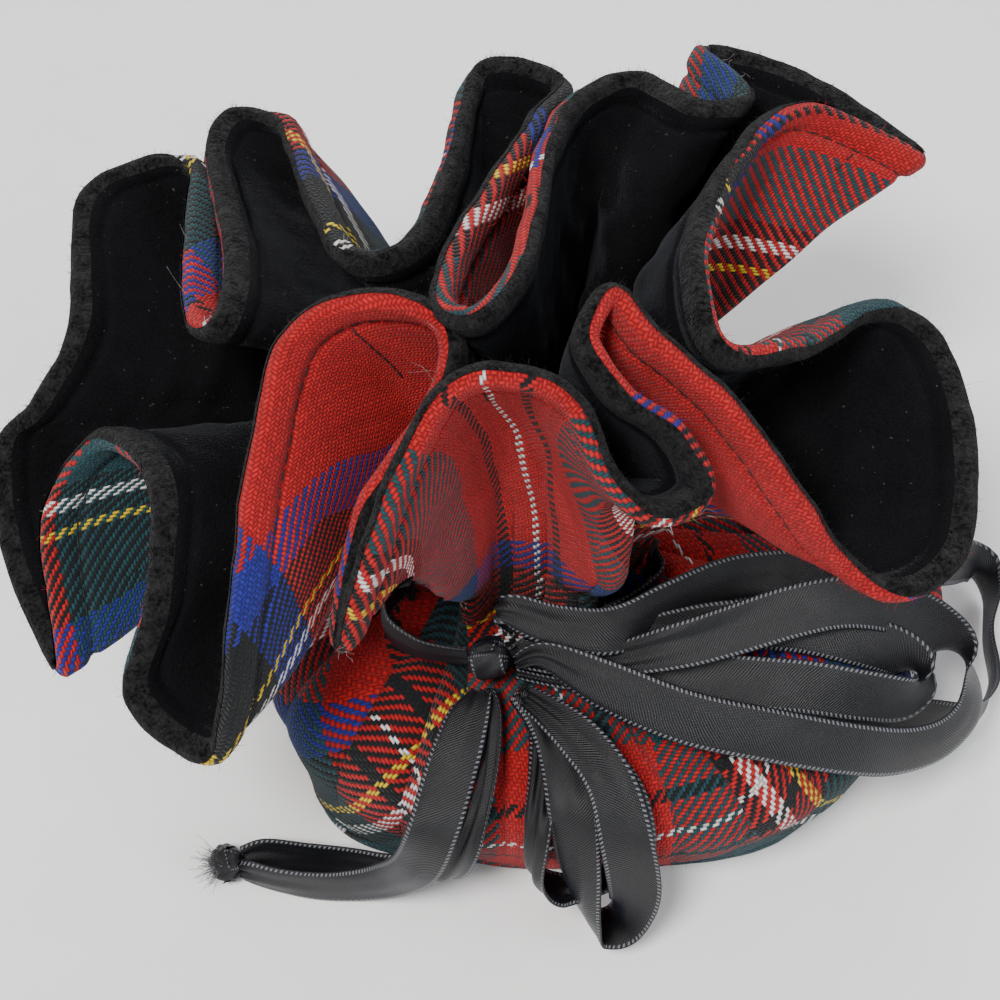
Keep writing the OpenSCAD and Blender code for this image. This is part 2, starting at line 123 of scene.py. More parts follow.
class Graph:
    """Short names for building a node material."""

    def __init__(self, name):
        self.material = bpy.data.materials.new(name)
        self.material.use_nodes = True
        self.tree = self.material.node_tree
        self.shader = self.tree.nodes["Principled BSDF"]

    def set(self, **values):
        for key, value in values.items():
            self.shader.inputs[key.replace("_", " ")].default_value = value
        return self

    def node(self, kind, **props):
        made = self.tree.nodes.new(kind)
        for key, value in props.items():
            setattr(made, key, value)
        return made

    def join(self, source, socket):
        if hasattr(source, "node"):
            self.tree.links.new(source, socket)
        else:
            socket.default_value = source

    def math(self, operation, *values):
        made = self.node("ShaderNodeMath", operation=operation)
        for i, value in enumerate(values):
            self.join(value, made.inputs[i])
        return made.outputs[0]

    def mix(self, factor, a, b, blend="MIX"):
        made = self.node("ShaderNodeMix", data_type="RGBA", blend_type=blend)
        self.join(factor, made.inputs[0])
        self.join(a, made.inputs[6])
        self.join(b, made.inputs[7])
        return made.outputs[2]

    def uv(self):
        return self.node("ShaderNodeTexCoord").outputs["UV"]

    def object(self):
        return self.node("ShaderNodeTexCoord").outputs["Object"]

    def split(self, vector):
        made = self.node("ShaderNodeSeparateXYZ")
        self.tree.links.new(vector, made.inputs[0])
        return made.outputs

    def combine(self, x, y, z=0.0):
        made = self.node("ShaderNodeCombineXYZ")
        for i, value in enumerate((x, y, z)):
            self.join(value, made.inputs[i])
        return made.outputs[0]

    def noise(self, vector, scale, detail=2.0, rough=0.5):
        made = self.node("ShaderNodeTexNoise")
        self.join(vector, made.inputs["Vector"])
        made.inputs["Scale"].default_value = scale
        made.inputs["Detail"].default_value = detail
        made.inputs["Roughness"].default_value = rough
        return made.outputs["Fac"]

    def remap(self, value, a, b, c=0.0, d=1.0):
        made = self.node("ShaderNodeMapRange")
        self.join(value, made.inputs[0])
        for i, number in enumerate((a, b, c, d)):
            made.inputs[i + 1].default_value = number
        return made.outputs[0]

    def ramp(self, value, stops, mode="CONSTANT"):
        made = self.node("ShaderNodeValToRGB")
        made.color_ramp.interpolation = mode
        elements = made.color_ramp.elements
        while len(elements) < len(stops):
            elements.new(0.5)
        for element, (at, color) in zip(elements, stops):
            element.position = at
            element.color = (*color, 1)
        self.join(value, made.inputs[0])
        return made.outputs[0]

    def bump(self, height, distance, strength=1.0):
        made = self.node("ShaderNodeBump")
        made.inputs["Distance"].default_value = distance
        made.inputs["Strength"].default_value = strength
        self.join(height, made.inputs["Height"])
        self.tree.links.new(made.outputs[0], self.shader.inputs["Normal"])

    def color(self, value):
        self.join(value, self.shader.inputs["Base Color"])


RED = (0.50, 0.013, 0.015)
BLUE = (0.02, 0.024, 0.26)
BLACK = (0.012, 0.013, 0.015)
GREEN = (0.014, 0.062, 0.075)
YELLOW = (0.72, 0.50, 0.02)
WHITE = (0.78, 0.74, 0.72)
# Half of the sett, between its two pivots, in pairs of threads
SETT = [(RED, 34), (BLUE, 8), (BLACK, 12), (YELLOW, 2), (BLACK, 3), (WHITE, 2), (BLACK, 3), (GREEN, 15),
        (RED, 8), (BLACK, 2), (RED, 4), (WHITE, 1)]
# threads to one repeat of the twill, and the width of a thread
TWILL, THREAD = 4.0, 0.54
RIBBON_W, RIBBON_T = 9.5, 0.6
# pitches of the ribbon's slanted rib, its crossing rib and its stitched edge, and where that edge lies
RIB, CROSS_RIB, PICOT = 0.55, 0.42, 0.9
PICOT_FROM, PICOT_TO = 0.84, 0.97
# millimetres to one unit of the cloth's UVs
UV_UNIT = 100.0
# Threads from the flat disc's centre lines to a red pivot
WARP_AT, WEFT_AT = 194.0, 307.0


def tartan():
    g = Graph("tartan_wool")
    u, v, _ = g.split(g.uv())
    cloth = g.combine(u, v)
    warp = g.math("MULTIPLY", u, UV_UNIT / THREAD)
    weft = g.math("MULTIPLY", v, UV_UNIT / THREAD)
    wobble = g.noise(cloth, 60, 1)
    warp = g.math("ADD", warp, g.remap(wobble, 0, 1, -0.5, 0.5))
    i, fi = g.math("FLOOR", warp), g.math("FRACT", warp)
    j, fj = g.math("FLOOR", weft), g.math("FRACT", weft)
    total = sum(2 * n for _, n in SETT)

    def thread_color(index, offset):
        place = g.math("DIVIDE", g.math("PINGPONG", g.math("ADD", index, offset + 0.5), total), total)
        stops, at = [], 0
        for color, n in SETT:
            stops.append((at / total, color))
            at += 2 * n
        return g.ramp(place, stops)

    # each float passes over two threads: the warp shows on places 0 to 2 of four, the weft on 2 to 4
    step = g.math("ADD", i, j)
    cell = g.math("FLOORED_MODULO", step, TWILL)
    over = g.math("LESS_THAN", cell, 1.5)
    along_warp = g.math("FLOORED_MODULO", g.math("ADD", step, fj), TWILL)
    along_weft = g.math("FLOORED_MODULO", g.math("ADD", g.math("ADD", step, fi), TWILL / 2), TWILL)
    round_of = lambda x: g.math("SINE", g.math("MULTIPLY", x, math.pi))
    hump = lambda x: g.math("SINE", g.math("MULTIPLY", x, math.pi / 2))
    warp_high = g.math("MULTIPLY", round_of(fi), hump(along_warp))
    weft_high = g.math("MULTIPLY", round_of(fj), hump(along_weft))
    high_mix = g.node("ShaderNodeMix", data_type="FLOAT")
    g.join(over, high_mix.inputs[0])
    g.join(weft_high, high_mix.inputs[2])
    g.join(warp_high, high_mix.inputs[3])
    high = g.math("POWER", g.math("MAXIMUM", high_mix.outputs[0], 0.0), 0.6)

    color = g.mix(over, thread_color(j, WEFT_AT), thread_color(i, WARP_AT))
    white = g.node("ShaderNodeTexWhiteNoise", noise_dimensions="2D")
    under = g.math("SUBTRACT", 1.0, over)
    thread_id = g.combine(g.math("MULTIPLY", i, over), g.math("MULTIPLY", j, under))
    g.tree.links.new(thread_id, white.inputs["Vector"])
    fibre = g.noise(cloth, 900, 3, 0.6)
    light = g.math("MULTIPLY", g.remap(white.outputs["Value"], 0, 1, 0.8, 1.15),
                   g.remap(fibre, 0.25, 0.75, 0.72, 1.2))
    # the colour is darkened where the threads dip, at their edges and where each float goes under: painted
    # shade in the weave's grooves
    light = g.math("MULTIPLY", light, g.remap(high, 0, 1, 0.35, 1.05))
    wear = g.noise(cloth, 6, 3)
    light = g.math("MULTIPLY", light, g.remap(wear, 0.3, 0.7, 0.9, 1.08))
    g.color(g.mix(1.0, color, g.combine(light, light, light), "MULTIPLY"))
    g.bump(g.math("ADD", high, g.math("MULTIPLY", fibre, 0.45)), 0.00035, 0.9)
    g.set(Roughness=0.88, Specular_IOR_Level=0.2, Sheen_Weight=0.08, Sheen_Roughness=0.45)
    return g.material


def velvet():
    g = Graph("black_velvet")
    place = g.object()
    patch = g.noise(place, 45, 4, 0.6)
    pile = g.noise(place, 2600, 2, 0.7)
    lint = g.math("GREATER_THAN", g.noise(place, 1300, 1, 0.3), 0.775)
    base = g.ramp(g.math("ADD", g.math("MULTIPLY", patch, 0.5), g.math("MULTIPLY", pile, 0.5)),
                  [(0.3, (0.0015, 0.0015, 0.0018)), (0.75, (0.009, 0.009, 0.0105))], "LINEAR")
    g.color(g.mix(g.math("MULTIPLY", lint, 0.4), base, (0.09, 0.085, 0.08, 1)))
    g.bump(g.math("ADD", pile, g.math("MULTIPLY", patch, 1.5)), 0.0006, 0.7)
    g.set(Roughness=0.95, Specular_IOR_Level=0.05, Sheen_Weight=0.16, Sheen_Roughness=0.28,
          Sheen_Tint=(0.3, 0.31, 0.36, 1))
    return g.material


def fleece():
    """The velvet's bulky edge: a fuzzy, dark felt, coloured lighter than the lining."""
    g = Graph("velvet_edge")
    place = g.object()
    curl = g.noise(place, 1500, 3, 0.7)
    clump = g.noise(place, 380, 2)
    base = g.ramp(g.math("ADD", g.math("MULTIPLY", curl, 0.6), g.math("MULTIPLY", clump, 0.4)),
                  [(0.38, (0.0015, 0.0015, 0.0017)), (0.68, (0.03, 0.029, 0.03))], "LINEAR")
    g.color(base)
    g.bump(g.math("ADD", curl, clump), 0.0012, 0.9)
    g.set(Roughness=0.95, Specular_IOR_Level=0.06, Sheen_Weight=0.12, Sheen_Roughness=0.4,
          Sheen_Tint=(0.4, 0.4, 0.42, 1))
    return g.material


def satin():
    """u runs along the ribbon in millimetres, v from -1 to 1 across it."""
    g = Graph("black_satin_ribbon")
    u, v, _ = g.split(g.uv())
    across = g.math("MULTIPLY", v, RIBBON_W / 2)
    wander = g.math("MULTIPLY", g.noise(g.combine(u, across), 0.12, 1), 2.0)
    slant = g.math("ADD", u, g.math("ADD", g.math("MULTIPLY", across, 0.8), wander))
    rib = g.math("SINE", g.math("MULTIPLY", slant, 2 * math.pi / RIB))
    cross = g.math("SINE", g.math("MULTIPLY", g.math("SUBTRACT", u, across), 2 * math.pi / CROSS_RIB))
    weave = g.math("MULTIPLY", g.remap(rib, -1, 1), g.remap(cross, -1, 1, 0.45, 1))
    side = g.math("ABSOLUTE", v)
    raised = g.math("GREATER_THAN", side, PICOT_FROM)
    edge = g.math("MULTIPLY", raised, g.math("LESS_THAN", side, PICOT_TO))
    phase = g.math("ADD", g.math("MULTIPLY", u, 2 * math.pi / PICOT), g.math("MULTIPLY", side, 14.0))
    stitch = g.math("GREATER_THAN", g.math("SINE", phase), 0.25)
    picot = g.math("MULTIPLY", edge, stitch)
    fleck = g.noise(g.combine(u, across), 0.8, 3, 0.7)
    # the colour darkens in the troughs of the ribs, which is painted shade; fleck adds tone that differs
    # at random
    body = g.ramp(g.math("MULTIPLY", weave, g.remap(fleck, 0.3, 0.7, 0.55, 1.15)),
                  [(0.0, (0.0008, 0.0008, 0.001)), (1.0, (0.016, 0.0165, 0.021))], "LINEAR")
    g.color(g.mix(picot, body, (0.15, 0.155, 0.175, 1)))
    g.join(g.remap(weave, 0, 1, 0.5, 0.27), g.shader.inputs["Roughness"])
    g.bump(g.math("ADD", g.math("ADD", weave, g.math("MULTIPLY", picot, 1.6)),
                  g.math("MULTIPLY", raised, 0.5)), 0.00012, 0.7)
    g.set(Specular_IOR_Level=0.38, Anisotropic=0.55, Sheen_Weight=0.04, Sheen_Roughness=0.3,
          Sheen_Tint=(0.28, 0.32, 0.62, 1))
    return g.material


def thread_material(name, color):
    g = Graph(name)
    place = g.object()
    twist = g.noise(place, 1500, 2)
    low = tuple(0.4 * c for c in color)
    g.color(g.ramp(twist, [(0.3, low), (0.7, color)], "LINEAR"))
    g.bump(twist, 0.0002, 0.7)
    g.set(Roughness=0.7, Specular_IOR_Level=0.3)
    return g.material


tartan_mat = tartan()
velvet_mat = velvet()
edge_mat = fleece()
satin_mat = satin()
stitch_mat = thread_material("black_thread", (0.02, 0.02, 0.022))
fray_mat = thread_material("frayed_ribbon_thread", (0.3, 0.3, 0.31))
lint_mat = thread_material("pale_lint", (0.32, 0.3, 0.28))


# ---------------------------------------------------------------- ribbons
# The same routes as the frame's: [x, y, z, and the direction of the ribbon's width]. The direction's
# length is the share of the ribbon's width that is spread out there.

ROUTES = {
    "ribbon_run_left": [
        [-36, -13.5, 42, 0, 0, 0.9], [-38.5, -17, 42, 0, 0, 0.95], [-38, -23, 42.5, 0, 0, 0.95],
        [-33, -27, 43, 0, -0.1, 0.9], [-28, -28.5, 43.5, 0, -0.1, 0.8], [-23.5, -29.2, 44, 0, 0, 0.6]],
    "ribbon_run_right": [
        [-16.5, -28, 42.5, 0, 0, 0.5], [-12, -25.5, 42.5, 0, 0, 0.8], [-4, -23, 42, 0, 0, 0.9],
        [3, -19.5, 42, 0, 0, 0.9], [9, -15, 42, 0, 0, 0.9], [11.5, -11.5, 42, 0, 0, 0.9],
        [10.5, -8.5, 42, 0, 0, 0.9]],
    "right_loop_outer": [
        [-15, -26, 48, 0.1, 0.2, 0.2], [-18, -24.5, 51, 0.2, 0.3, 0.2], [-16, -25, 53, 0, 0.5, 0.4],
        [-8, -27, 51, 0, 0.7, 0.4], [2, -27, 49.5, 0, 0.8, 0.4], [11, -21, 48, 0, 0.5, 0.8],
        [23, -15, 46, 0, 0.6, 0.7], [35, -12.5, 44, 0, 0.85, 0.4], [48, -11, 41, 0.1, 0.9, 0.2],
        [60, -6, 35, 0.1, 0.9, 0], [70, 2, 23, -0.2, 0.8, 0.4], [78.5, 9, 11, -0.2, 0.4, 0.8],
        [82.5, 5, 6, 0.1, 0, 1], [80.5, -5, 5.5, 0, 0, 1], [80, -14, 6.5, 0, 0, 1],
        [77, -21.5, 10, 0, 0, 1], [71, -28, 15, 0, 0.2, 0.95], [62, -32, 22, -0.3, 0.4, 0.85],
        [52, -35, 30, -0.1, 0.7, 0.7], [40, -35, 37, 0, 0.85, 0.5], [27, -34, 39.5, 0, 0.9, 0.3],
        [14, -33, 40, 0, 0.9, 0.3], [2, -31, 40, 0, 0.7, 0.3], [-8, -30.5, 40.5, 0, 0.5, 0.3],
        [-15, -30, 41, 0, 0.3, 0.2]],
    "right_loop_small": [
        [-15, -28.5, 45, 0, 0.2, 0.3], [-8, -28.5, 46, 0, 0.4, 0.4], [0, -28.5, 46, 0, 0.6, 0.4],
        [9, -26, 45, 0, 0.7, 0.5], [22, -22.5, 43, 0, 0.8, 0.5], [35, -22.5, 42.5, 0, 0.9, 0.4],
        [46, -24, 40.5, 0, 0.85, 0.5], [54.5, -25.5, 37.5, -0.2, 0.6, 0.75],
        [59, -28.5, 34, -0.5, 0.2, 0.8],
        [56, -32.5, 34, 0, 0.4, 0.9], [47.5, -34, 38, 0, 0.7, 0.7], [36.5, -33.5, 40.5, 0, 0.8, 0.6],
        [25, -33, 41.5, 0, 0.85, 0.5], [14, -32, 42, 0, 0.85, 0.5], [2, -31, 42, 0, 0.6, 0.3],
        [-8, -30, 42, 0, 0.4, 0.3], [-15, -29.5, 43, 0, 0.3, 0.2]],
    "right_loop_large": [
        [-15, -31.5, 46, 0, 0.2, 0.2], [-10, -31.5, 48.5, 0, 0.4, 0.4], [0, -36.5, 47.5, 0, 0.7, 0.6],
        [14, -41.5, 45, 0, 0.8, 0.6], [28.5, -43.5, 42, 0, 0.8, 0.6], [44, -43.5, 36, 0, 0.7, 0.7],
        [55, -41, 29.5, 0, 0.6, 0.8], [64, -36.5, 26, -0.2, 0.4, 0.85],
        [69.5, -29.5, 26, -0.5, 0.1, 0.85],
        [68, -22, 30, -0.4, 0.2, 0.9], [61, -19, 37, -0.1, 0.5, 0.85], [52.5, -19, 43.5, 0, 0.7, 0.7],
        [43, -20, 47, 0, 0.8, 0.6], [33.5, -22.5, 48, 0, 0.85, 0.5], [22.5, -26.5, 48.5, 0, 0.8, 0.5],
        [13, -29.5, 48.5, 0, 0.7, 0.5], [1, -31, 46, 0, 0.5, 0.3], [-8, -30.5, 45, 0, 0.4, 0.3],
        [-15, -30, 45, 0, 0.2, 0.2]],
    "hanging_loop_long": [
        [-14.5, -34.5, 40, 0.4, 0, -0.2], [-10.5, -39.5, 39.5, 0.6, 0, -0.2],
        [-7.5, -46.5, 39.5, 0.8, 0, 0], [-5.5, -55.5, 36, 0.9, -0.2, 0], [-4, -61.5, 24, 0.8, -0.4, 0],
        [-2.5, -64.5, 12, 0.5, -0.8, 0.2], [0.5, -65.5, 5, 0.1, -0.9, 0.2],
        [4.5, -65, 8, 0.5, -0.8, 0.3], [6, -64.5, 20, 0.95, -0.2, 0.1], [4, -60, 33, 1, 0, 0],
        [1, -52, 41, 0.9, 0, 0], [-4, -45, 43, 0.8, 0, 0.2], [-9, -40, 43, 0.6, 0, 0.2],
        [-13.5, -36, 42, 0.4, 0, 0.2]],
    "hanging_loop_short": [
        [-14, -33, 38, 0.3, 0, -0.2], [-11, -38, 38, 0.4, 0, -0.1], [-10.5, -46, 37, 0.5, 0, -0.1],
        [-11.5, -56.5, 32.5, 0.5, -0.3, 0.1], [-12, -60.8, 23, 0.4, -0.5, 0.1],
        [-10, -61.2, 16, 0.2, -0.7, 0.2], [-6, -61.2, 13, 0, -0.75, 0.3],
        [-1, -60.8, 16, 0.2, -0.5, 0.2], [3, -60.5, 22, 0.7, -0.1, 0], [5.5, -59.5, 30, 0.8, 0, 0],
        [4, -52.5, 37, 0.7, 0, 0], [-0.5, -45, 37, 0.6, 0, 0.2], [-6, -39.5, 37.5, 0.4, 0, 0.2],
        [-12.5, -34.5, 38.5, 0.3, 0, 0.2]],
    "left_tail_front": [
        [-21.5, -34.5, 40.5, 0.5, 0, 0.1], [-23.5, -39, 41, 0.8, 0, 0.1],
        [-26, -47, 39.5, 0.95, 0, 0.1], [-29.5, -57.5, 34, 0.95, -0.1, -0.1],
        [-33, -60.5, 23, 0.85, -0.3, -0.3], [-38.5, -59, 12, 0.6, -0.4, -0.6],
        [-45, -58, 6.5, 0.2, -0.3, -0.9], [-52, -57.5, 5, 0, -0.2, -0.95],
        [-59, -56.5, 5, 0, -0.1, -0.9], [-64, -55, 4.5, 0, -0.1, -0.8], [-66.5, -54, 4, 0, -0.1, -0.5]],
    "left_tail_back": [
        [-20, -33.5, 39.5, 0.2, -0.1, 0.2], [-19, -37.5, 39, 0.2, -0.2, 0.3],
        [-19.2, -44, 38.5, 0.2, -0.2, 0.4], [-21, -53.5, 37, 0.3, -0.2, 0.4],
        [-24.5, -59.3, 28.5, 0.6, -0.2, 0.1], [-28.5, -59.5, 17, 0.7, -0.1, 0.1],
        [-34.5, -56.5, 9, 0.6, 0.1, 0.5], [-43, -53.5, 5.5, 0.1, 0.3, 0.8],
        [-54, -52, 5, 0, 0.3, 0.85], [-62, -51, 4.5, 0, 0.4, 0.7], [-66.5, -51.5, 4, 0, 0.3, 0.5]],
}


ACROSS = 13     # points across one face of a ribbon


def ribbon(name, points, cup=0.5, ripple=0.22):
    """A woven strip along its route: a little domed across, and rippled along."""
    line = open_spline(points, 8)
    centre, across = line[:, :3], line[:, 3:]
    along = unit(np.gradient(centre, axis=0))
    size = np.linalg.norm(across, axis=1, keepdims=True)
    across = unit(across - along * (across * along).sum(1, keepdims=True)) * size * RIBBON_W / 2
    up = unit(np.cross(along, across))
    far = np.concatenate([[0], np.cumsum(np.linalg.norm(np.diff(centre, axis=0), axis=1))])
    squeeze = np.clip(1 - size[:, 0], 0, 1)
    places = np.linspace(-1, 1, ACROSS)
    verts, uv = [], []
    for side in (1, -1):
        for t in places:
            dome = cup * (1 - t * t) + squeeze * 1.1 * np.sin(t * 7.5) + ripple * np.sin(far / 6 + 2 * t)
            thick = RIBBON_T / 2 * (1.0 if abs(t) < 0.99 else 0.5)
            verts.append(centre + across * t + up * (dome - cup / 2 + side * thick)[:, None])
            uv.append(np.stack([far, np.full(len(far), t)], 1))
    order = list(range(ACROSS)) + list(range(2 * ACROSS - 1, ACROSS - 1, -1))
    verts = np.array(verts)[order].transpose(1, 0, 2)
    uv = np.array(uv)[order].transpose(1, 0, 2)
    n, m = verts.shape[:2]
    faces = [(i * m + k, i * m + (k + 1) % m, (i + 1) * m + (k + 1) % m, (i + 1) * m + k)
             for i in range(n - 1) for k in range(m)]
    faces += [tuple(range(m - 1, -1, -1)), tuple((n - 1) * m + k for k in range(m))]
    obj = new_mesh(name, verts.reshape(-1, 3), faces, uv.reshape(-1, 2))
    return obj, centre, far[-1]


BODIES = {
    "ribbon_run_left": "pouch", "ribbon_run_right": "pouch",
    "right_loop_outer": "right_loops", "right_loop_small": "right_loops",
    "right_loop_large": "right_loops",
    "hanging_loop_long": "hanging_loops", "hanging_loop_short": "hanging_loops",
    "left_tail_front": "left_tail", "left_tail_back": "left_tail"}

strips = {}
for key, points in ROUTES.items():
    strips[key] = ribbon("satin_" + key, points)
    finish(strips[key][0], satin_mat, BODIES[key], "ribbon", key)

# the runs are too short to be cords
CORDS = {key: "knot" if body_name == "left_tail" else "object"
         for key, body_name in BODIES.items() if body_name != "pouch"}


# ---------------------------------------------------------------- cloth
# The same rim as the frame's: [x, y, z, angle at the neck, fold].

RIM = [
    # broad left fold
    [-72, 44, 90, 148, 0.4], [-82, 46, 88, 151, 0.8], [-92, 40, 84, 156, 1], [-91, 16, 80, 164, 1],
    [-97, 5, 74, 170, 1], [-104, 0, 68, 176, 1], [-102, -17, 62, 184, 1], [-91, -38, 58, 192, 1],
    # furrow behind the front left fold
    [-93, -18, 72, 196, 0], [-83, -10, 84, 199, -0.8], [-72, -22, 90, 202, -1],
    [-72, -39, 82, 206, -0.4],
    # front left fold
    [-76, -49, 72, 210, 0.4], [-70, -55, 66, 213, 1], [-62, -58, 68, 217, 1], [-59, -46, 82, 221, 0.2],
    # wide furrow left of the middle
    [-55, -21, 98, 225, -0.6], [-50, -5, 106, 228, -1], [-38, -2, 110, 232, -1],
    [-27, -5, 109, 235, -1], [-27, -14, 102, 238, -0.4], [-39, -28, 91, 242, 0.4],
    # narrow front fold
    [-43, -43, 76, 246, 1],
    # front furrow, an arch
    [-36, -31, 93, 250, 0.2], [-27, -17, 106, 256, -0.8], [-16, -15, 109, 267, -1],
    [-7, -18, 105, 281, -0.8], [-2, -25, 98, 290, 0],
    # small front fold
    [5, -29, 92, 296, 0.8], [14, -24, 90, 301, 1], [10, -19, 98, 306, 0.4], [1, -15, 104, 310, -0.4],
    # long furrow right of the middle
    [-5, -9, 110, 314, -1], [-1, -2, 112, 318, -1], [5, -7, 108, 322, -0.8],
    [19, -15, 98, 327, 0], [29, -24, 88, 332, 0.4],
    # large right fold
    [37, -30, 78, 337, 1], [47, -33, 74, 342, 1], [57, -25, 74, 348, 1], [60, -6, 78, 355, 1],
    [56, 12, 82, 362, 0.8], [45, 14, 88, 367, 0.4],
    # back right furrow
    [29, -2, 98, 372, -0.4], [16, -6, 104, 376, -1], [14, 12, 106, 381, -1],
    [22, 35, 102, 387, -0.8], [36, 51, 97, 393, 0],
    # back right fold
    [56, 46, 90, 399, 1], [37, 65, 90, 406, 1], [19, 68, 94, 411, 0.4],
    # short back furrow
    [25, 55, 97, 415, -0.8], [17, 49, 99, 418, -1],
    # back fold
    [7, 61, 94, 423, 0.4], [-4, 55, 96, 428, 0.8],
    # deep back furrow
    [-10, 35, 104, 433, 0], [-15, 5, 110, 437, -1], [-22, -7, 112, 441, -1], [-27, 0, 110, 444, -0.8],
    [-21, 21, 106, 447, 0], [-11, 48, 98, 451, 0.4],
    # middle back fold
    [-7, 61, 93, 455, 1], [-18, 67, 92, 459, 1], [-24, 61, 92, 463, 0.8], [-27, 35, 98, 467, 0],
    # back left furrow
    [-33, 14, 104, 471, -1], [-43, 13, 104, 474, -1], [-50, 31, 99, 478, -0.4],
    # left back fold
    [-56, 52, 92, 483, 0.8], [-66, 57, 89, 487, 1], [-69, 46, 90, 491, 0.8], [-62, 17, 98, 496, 0],
    # narrow left furrow
    [-62, 2, 101, 500, -1], [-67, 4, 98, 503, -1], [-70, 24, 94, 506, -0.4]
]
NECK = np.array([-14.0, 3.0])
NECK_R, NECK_Z, FOLD_DEPTH, COLLAR_LEN, LEAN_Z = 20.5, 48.0, 3.5, 75.0, 22.0
# distance from the flat disc's centre to the casing, and how far each cloth's face is from the middle
NECK_RHO = 118.0
WOOL, VELVET = 1.3, 1.5
PER = 10                # columns to one step of RIM
FRONT_FURROW = 266      # the angle that the pattern is set out from
HEM_STITCH = 5          # distance of the topstitching from the rim

rim = closed_spline(RIM, PER, [0, 0, 0, 360, 0])
N = len(rim)
rim_far = np.concatenate([[0], np.cumsum(np.linalg.norm(np.diff(rim[:, :3], axis=0), axis=1))])
rim_len = rim_far[-1] + np.linalg.norm(rim[0, :3] - rim[-1, :3])
fold = np.clip(rim[:, 4], -1, 1)
angle = np.radians(rim[:, 3])
out = np.stack([np.cos(angle), np.sin(angle), 0 * angle], 1)
# where each column lies on the flat disc; panel_at is the middle of the front furrow
panel_at = np.argmin(abs(rim[:, 3] - FRONT_FURROW))
flat_angle = 1.5 * math.pi + 2 * math.pi * (rim_far - rim_far[panel_at]) / rim_len

# The gathered cloth shows as panels at its true scale. The spare cloth between two panels is
# tucked into the crease between them. Each border is a place in RIM.
BORDERS = np.array([3, 7.5, 12, 15.5, 22, 28, 31, 34, 37, 40.5, 43, 45.5, 48, 51, 54, 57, 60.5, 63.5, 66.5,
                    70, 73])
border_at = (BORDERS * PER).astype(int)
columns_at = np.arange(N)
panel = np.searchsorted(border_at, columns_at, side="right") - 1
panel_wraps = panel < 0
panel[panel_wraps] = len(border_at) - 1


def next_column(values, gain):
    """The values of the columns one further round. gain is what they gain on a lap."""
    return np.append(values[1:], values[0] + gain)


def panel_middle(values):
    """The middle of each column's panel, for a value that gains a turn on each lap."""
    lapped = np.append(values, values + 2 * math.pi)
    middle = (lapped[border_at] + lapped[np.append(border_at[1:], border_at[0] + N)]) / 2
    return middle[panel] - 2 * math.pi * panel_wraps


# Each panel is gathered into arches, which meet at cusps. An arch turns about this many degrees.
ARCH_TURN = 13
rng = np.random.default_rng(11)
cusps = []
for k, first in enumerate(border_at):
    last = border_at[k + 1] if k + 1 < len(border_at) else border_at[0] + N
    turn = np.degrees(np.append(angle, angle + 2 * math.pi)[last] - angle[first])
    count = max(1, round(turn / ARCH_TURN))
    inner = np.arange(1, count) / count + rng.uniform(-0.18, 0.18, count - 1) / count
    cusps += [first, *(first + inner * (last - first))]
cusps = np.array(cusps)
cusp_ends = np.append(cusps[1:], cusps[0] + N)
arch_scale = rng.uniform(0.55, 1.15, len(cusps))
lapped_columns = np.where(columns_at < cusps[0], columns_at + N, columns_at)
in_arch = np.searchsorted(cusps, lapped_columns, side="right") - 1
along_arch = (lapped_columns - cusps[in_arch]) / (cusp_ends - cusps)[in_arch]
# 0 on the rounded ridges and down to -1 in the creases between them
crease = arch_scale[in_arch] * (np.sin(math.pi * along_arch) ** 0.6 - 1)


def collar_grid(vs):
    """Points of the collar from its neck, at 0, to its rim, at 1. Spare cloth makes it bow out."""
    vs = np.asarray(vs)[:, None, None]
    start = np.concatenate([NECK + out[:, :2] * (NECK_R + FOLD_DEPTH * fold)[:, None],
                            np.full((N, 1), NECK_Z)], 1)
    end = rim[:, :3]
    spare = COLLAR_LEN - np.linalg.norm(end - start, axis=1, keepdims=True)
    rise = unit(np.array([0, 0, 1.0]) + out * np.clip(0.25 + 0.55 * fold, 0, 1)[:, None])
    flare = unit(end - np.array([*NECK, NECK_Z + LEAN_Z]))
    a = start + rise * np.clip(0.3 * COLLAR_LEN + 0.35 * spare, 10, 40)
    b = end - flare * np.clip(0.28 * COLLAR_LEN + 0.35 * spare, 8, 40)
    w = 1 - vs
    return w ** 3 * start + 3 * w * w * vs * a + 3 * w * vs ** 2 * b + vs ** 3 * end


def wave(a, b, phase):
    """Slow, even unevenness over the cloth from a few crossed sines."""
    return (np.sin(a * 1.0 + 1.7 * b + phase) + 0.6 * np.sin(2.3 * a - 1.1 * b + 2 * phase)
            + 0.4 * np.sin(3.9 * a + 3.1 * b - phase)) / 2


def grid_normals(grid):
    du = np.roll(grid, -1, 1) - np.roll(grid, 1, 1)
    dv = np.gradient(grid, axis=0)
    return unit(np.cross(du, dv))


vs = np.concatenate([np.linspace(0, 0.9, 44), np.linspace(0.912, 0.96, 9), [0.972, 0.986, 1.0]])
collar = collar_grid(vs)
normals = grid_normals(collar)
depth = 1.4 * (1 - smoothstep(vs, 0.03, 0.45))
uneven = 0.45 * smoothstep(vs, 0.1, 0.5)[:, None] * wave(rim_far / 7, vs[:, None] * COLLAR_LEN / 8, 0.4)
collar = collar + normals * (depth[:, None] * crease + uneven)[:, :, None]
normals = grid_normals(collar)
stitch_v = 1 - HEM_STITCH / COLLAR_LEN


def face_profile(flat_t, dip, bead):
    """Height of a face over the cloth's middle: flat, pulled in at the stitching and puffed in the rim."""
    rise = smoothstep(vs, stitch_v + 0.004, stitch_v + 0.035)
    pulled = np.exp(-((vs - stitch_v) / 0.011) ** 2)
    return flat_t + (bead - flat_t) * rise - dip * pulled * (1 - rise)


EDGE_ROWS = 7
WOOL_BEAD, VELVET_BEAD = 1.9, 2.0


